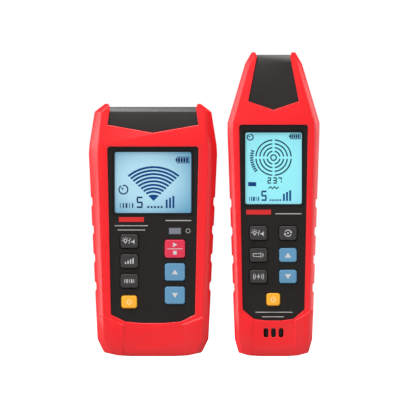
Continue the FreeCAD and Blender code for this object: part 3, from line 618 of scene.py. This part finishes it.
def battery_sign(x, z, width, height):
    """Battery outline with its cells; x, z is the middle."""
    left, right = x - width / 2 + 0.8, x + width / 2
    low, high = z - height / 2, z + height / 2
    marks = outline([(left, low), (right, low), (right, high), (left, high)], 0.5)
    marks.append(box_mark(left - 0.6, z, 0.8, height * 0.5))
    cells, margin = 4, 0.35
    pitch = (right - left - 2 * margin) / cells
    for cell in range(cells):
        middle = left + margin + pitch * (cell + 0.5)
        marks.append(box_mark(middle, z, pitch * 0.78, height - 1.1))
    return marks


def level_bars(left, low, pitch, width, heights):
    """Bars of growing height on one base line."""
    return [box_mark(left + pitch * step + width / 2, low + height / 2, width, height)
            for step, height in enumerate(heights)]


def code_marks(left, right, middle, height):
    """Upright strips of three widths, standing in for a caption."""
    pitch = (right - left) / 5
    return [box_mark(left + pitch * (step + 0.5), middle, 0.45 + 0.35 * (step % 3), height)
            for step in range(5)]


def scale_marks(left, right, low, size):
    """Row of small squares, standing in for a caption."""
    pitch = (right - left) / 5
    return [box_mark(left + pitch * (step + 0.5), low + size / 2, size, size)
            for step in range(5)]


def transmitter_display():
    """Signal fan over the code, with its level, a timer and a battery."""
    apex, sag, half_angle = (0.35, -11.8), 3.6, 45.5
    baseline = -16.3
    heights = (5.9, 8.1, 10.3, 12.6, 14.9, 17.2, 19.4, 21.6)
    blue = [fan_arc(apex, height, sag, half_angle, 1.3) for height in heights]
    blue.append(fan_tip(apex, 4.1, sag, half_angle))
    blue += level_bars(8.1, baseline, 2.15, 1.25, (5.4, 6.6, 7.7))
    navy = timer_sign((-18.9, -4.5), 2.8, 0.8)
    navy += battery_sign(18.8, 14.4, 8.3, 3.7)
    navy += digit("5", -10.5, baseline, 4.0, 7.3, 1.05)
    navy += code_marks(-21.9, -12.0, -14.7, 3.1)
    navy += scale_marks(-4.1, 6.6, baseline, 1.25)
    on_display("transmitter", "navy", navy, "segment_navy")
    on_display("transmitter", "blue", blue, "segment_blue")


def receiver_display():
    """Target rings over a signal figure and the code, with level, timer and battery."""
    target = (0.0, 6.85)
    baseline = -20.8
    teal = ring(target, 1.75, 0.8)
    for radius in (11.25, 8.8, 6.4, 4.1):
        gap = math.degrees(0.75 / radius)
        for quarter in range(4):
            start = quarter * 90
            teal.append(arc(target, radius, 0.85, start + gap, start + 90 - gap, 18))
    for character, left in (("2", -4.0), ("3", -0.3), ("7", 2.9)):
        teal += digit(character, left, -9.8, 2.5, 4.1, 0.8)
    zigzag = [(-3.2 + 1.3 * step, (-13.0, -11.7)[step % 2]) for step in range(6)]
    teal += path(zigzag, 0.65)
    navy = timer_sign((-14.9, 19.9), 1.85, 0.7)
    navy += battery_sign(13.6, 20.4, 6.9, 3.0)
    for tick in range(10):
        angle = math.radians(162.5 + tick * 6.0)
        reach = Vector((math.cos(angle), math.sin(angle)))
        navy.append(bar(Vector(target) + reach * 12.9, Vector(target) + reach * 15.1, 0.9))
    blue = [box_mark(-13.65, -10.1, 5.1, 2.6)]
    blue += digit("5", -7.9, baseline, 3.6, 6.6, 1.05)
    blue += level_bars(6.0, baseline, 2.0, 1.25, (4.6, 5.7, 6.8))
    blue += code_marks(-16.1, -8.9, -19.5, 2.6)
    blue += scale_marks(-2.8, 5.2, baseline, 1.0)
    on_display("receiver", "teal", teal, "segment_teal")
    on_display("receiver", "navy", navy, "segment_navy")
    on_display("receiver", "blue", blue, "segment_blue")


transmitter_display()
receiver_display()


# ---------------------------------------------------------------- print on the face

def stripe(left, right, z, width):
    """Level stroke from left to right."""
    return bar((left, z), (right, z), width)


def lens_border(unit):
    """Black print round the edge of the lens, with rounded corners inside and out; it also stands
    in as painted shade for the dark ring round the recessed display.
    """
    lens = f"{unit}_display_lens"
    half = half_size(lens)
    wide, tall = half.x / MM, half.z / MM
    # the margin sets how wide the band of print and painted shade is
    clearance, margin, corner = 0.05, 1.35, 1.15
    outer = rounded_box(wide - clearance, tall - clearance, corner)
    inner = rounded_box(wide - margin, tall - margin, corner)
    plate(f"{unit}_lens_border", border(outer, inner), middle_of(lens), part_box(lens)[0].y - PROUD,
          2 * PROUD, unit, "lens_border")


for unit in UNITS:
    lens_border(unit)
on_face("transmitter", "ring", ring((22.4, -30.9), 1.3, 0.34), "print_grey")
on_face("transmitter", "accent", [stripe(-21.8, -5.8, -23.6, 3.0)], "print_red")
on_face("transmitter", "lines", [stripe(8.0, 24.4, -24.3, 0.6), stripe(-24.4, -3.2, -27.6, 0.5),
                                 stripe(-22.6, -5.0, -30.3, 0.5)], "print_grey")
on_face("receiver", "accent", [stripe(-17.4, -1.6, -28.0, 3.0)], "print_red")
on_face("receiver", "lines", [stripe(1.2, 17.8, -29.0, 0.6), stripe(-11.6, 12.1, -91.9, 0.5),
                              stripe(-7.4, 6.5, -94.8, 0.5)], "print_grey")


# ---------------------------------------------------------------- stage

def seen_and_lit(tree, seen, lit):
    """Strength that is one number for what the camera sees, and another for the light given."""
    path_kind = tree.nodes.new("ShaderNodeLightPath")
    choice = tree.nodes.new("ShaderNodeMapRange")
    choice.inputs["To Min"].default_value = lit
    choice.inputs["To Max"].default_value = seen
    tree.links.new(path_kind.outputs["Is Camera Ray"], choice.inputs["Value"])
    return choice.outputs["Result"]


def lit_paper():
    """White paper that is lit evenly of its own, so that it stays white."""
    material = moulded("floor_paper", (0.3, 0.3, 0.3), 0.9, 0.99, specular=0.1)
    tree = material.node_tree
    shader = tree.nodes["Principled BSDF"]
    shader.inputs["Emission Color"].default_value = (1.0, 1.0, 1.0, 1.0)
    tree.links.new(seen_and_lit(tree, seen=0.94, lit=0.30), shader.inputs["Emission Strength"])
    return material


def stage_floor():
    """Plain round floor, wide enough to fill every view."""
    mesh = bpy.data.meshes.new("floor")
    build = bmesh.new()
    bmesh.ops.create_circle(build, cap_ends=True, segments=96, radius=40.0)
    build.to_mesh(mesh)
    build.free()
    floor = bpy.data.objects.new("floor", mesh)
    bpy.context.scene.collection.objects.link(floor)
    mesh.materials.append(lit_paper())


def area_light(name, place, target, size, energy):
    """White rectangular light at place, facing target."""
    light = bpy.data.lights.new(name, "AREA")
    light.shape = "RECTANGLE"
    light.size, light.size_y = size
    light.energy = energy
    holder = bpy.data.objects.new(name, light)
    bpy.context.scene.collection.objects.link(holder)
    holder.location = place
    holder.rotation_euler = (Vector(target) - Vector(place)).to_track_quat("-Z", "Y").to_euler()


def studio():
    """White surroundings, and soft lights on every side of the instruments."""
    world = bpy.data.worlds.new("studio")
    bpy.context.scene.world = world
    world.use_nodes = True
    tree = world.node_tree
    background = tree.nodes["Background"]
    background.inputs["Color"].default_value = (1.0, 1.0, 1.0, 1.0)
    tree.links.new(seen_and_lit(tree, seen=1.0, lit=0.22), background.inputs["Strength"])
    aim = (0.0, 0.0, 0.1)
    area_light("key_light", (-1.1, -1.7, 1.8), aim, (0.6, 0.6), 43.0)
    area_light("left_light", (-1.95, -0.35, 0.7), aim, (0.5, 1.2), 16.0)
    area_light("top_light", (-0.15, -0.3, 1.85), aim, (1.6, 0.6), 36.0)
    area_light("right_light", (1.95, -0.1, 0.4), aim, (0.4, 1.4), 17.0)
    area_light("back_light", (0.9, 2.2, 1.2), aim, (1.2, 1.0), 22.0)


def camera():
    """Square-on view with a long lens, in metres: how far off, how wide, and its middle."""
    distance, wide = 8.0, 0.2617
    middle_x, middle_z = 0.0002, 0.0969
    data = bpy.data.cameras.new("camera")
    data.sensor_width = 36.0
    data.lens = data.sensor_width * distance / wide
    data.clip_end = 50.0
    holder = bpy.data.objects.new("camera", data)
    bpy.context.scene.collection.objects.link(holder)
    holder.location = (middle_x, -distance, middle_z)
    holder.rotation_euler = (math.radians(90), 0.0, 0.0)
    bpy.context.scene.camera = holder


camera()
stage_floor()
studio()
bpy.context.scene.view_settings.view_transform = "Standard"
